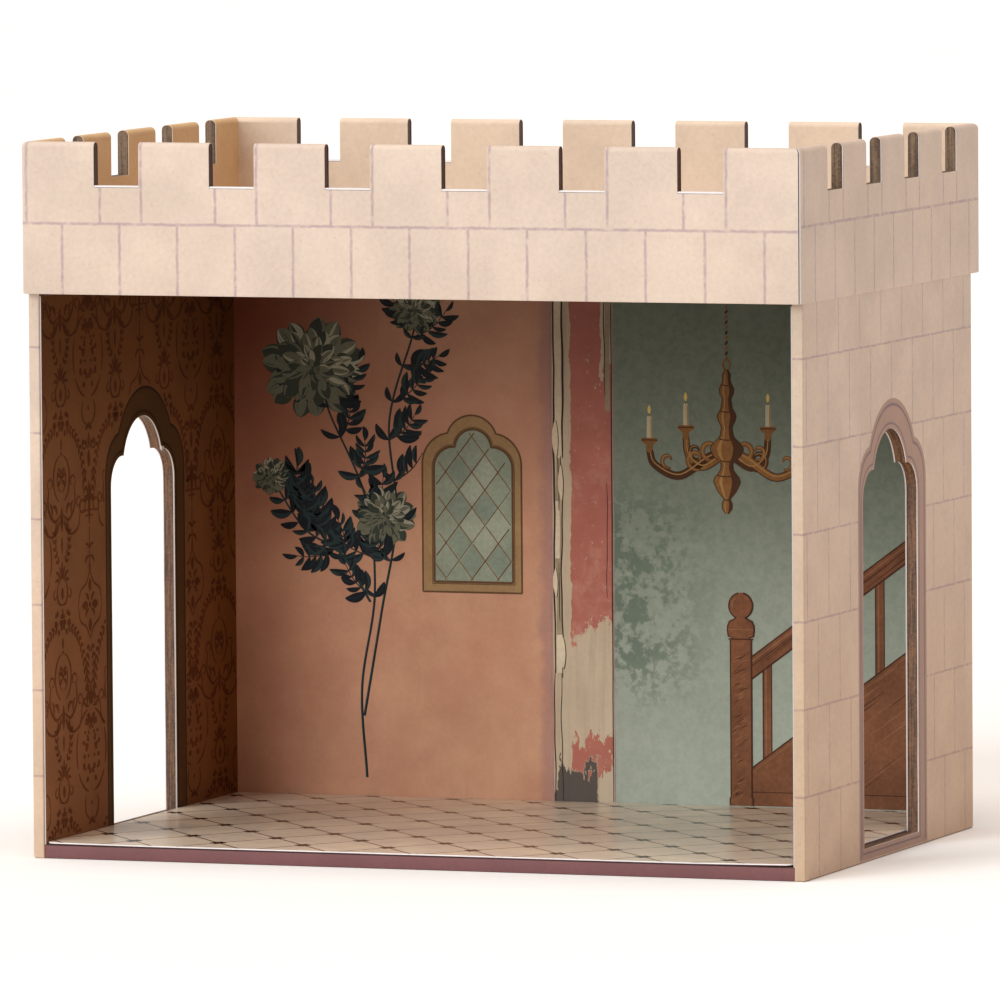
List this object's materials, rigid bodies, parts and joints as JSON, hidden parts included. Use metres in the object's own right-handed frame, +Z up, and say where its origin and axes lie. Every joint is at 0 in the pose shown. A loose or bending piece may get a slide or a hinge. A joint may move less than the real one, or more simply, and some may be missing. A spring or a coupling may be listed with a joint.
{
  "type": "cardboard play castle",
  "caption": "Open-fronted cardboard castle room with arched side doors, a tiled floor and a crenellated crown round its roof.",
  "frame": {"origin": "under the middle of the crown's outline, on the surface that the castle stands on", "axes": "+Z up, +X to the right as seen from the open front, which faces -Y"},
  "size_m": [0.33, 0.235, 0.2905],
  "materials": {
    "stone_board": "matt paper-faced board printed as stone blocks",
    "roof_board": "matt paper-faced board",
    "plum_board": "plum paper-covered board",
    "tile_card": "semi-gloss card printed as tiles",
    "damask_card": "matt card printed as damask wallpaper",
    "mural_card": "matt card printed as painted plaster"
  },
  "bodies": {
    "root": {"wall_shell": "stone_board", "battlement": "stone_board", "roof_board": "roof_board", "floor_board": "plum_board", "floor_card": "tile_card", "left_wall_card": "damask_card", "right_wall_card": "damask_card", "back_wall_card": "mural_card"}
  },
  "joints": []
}
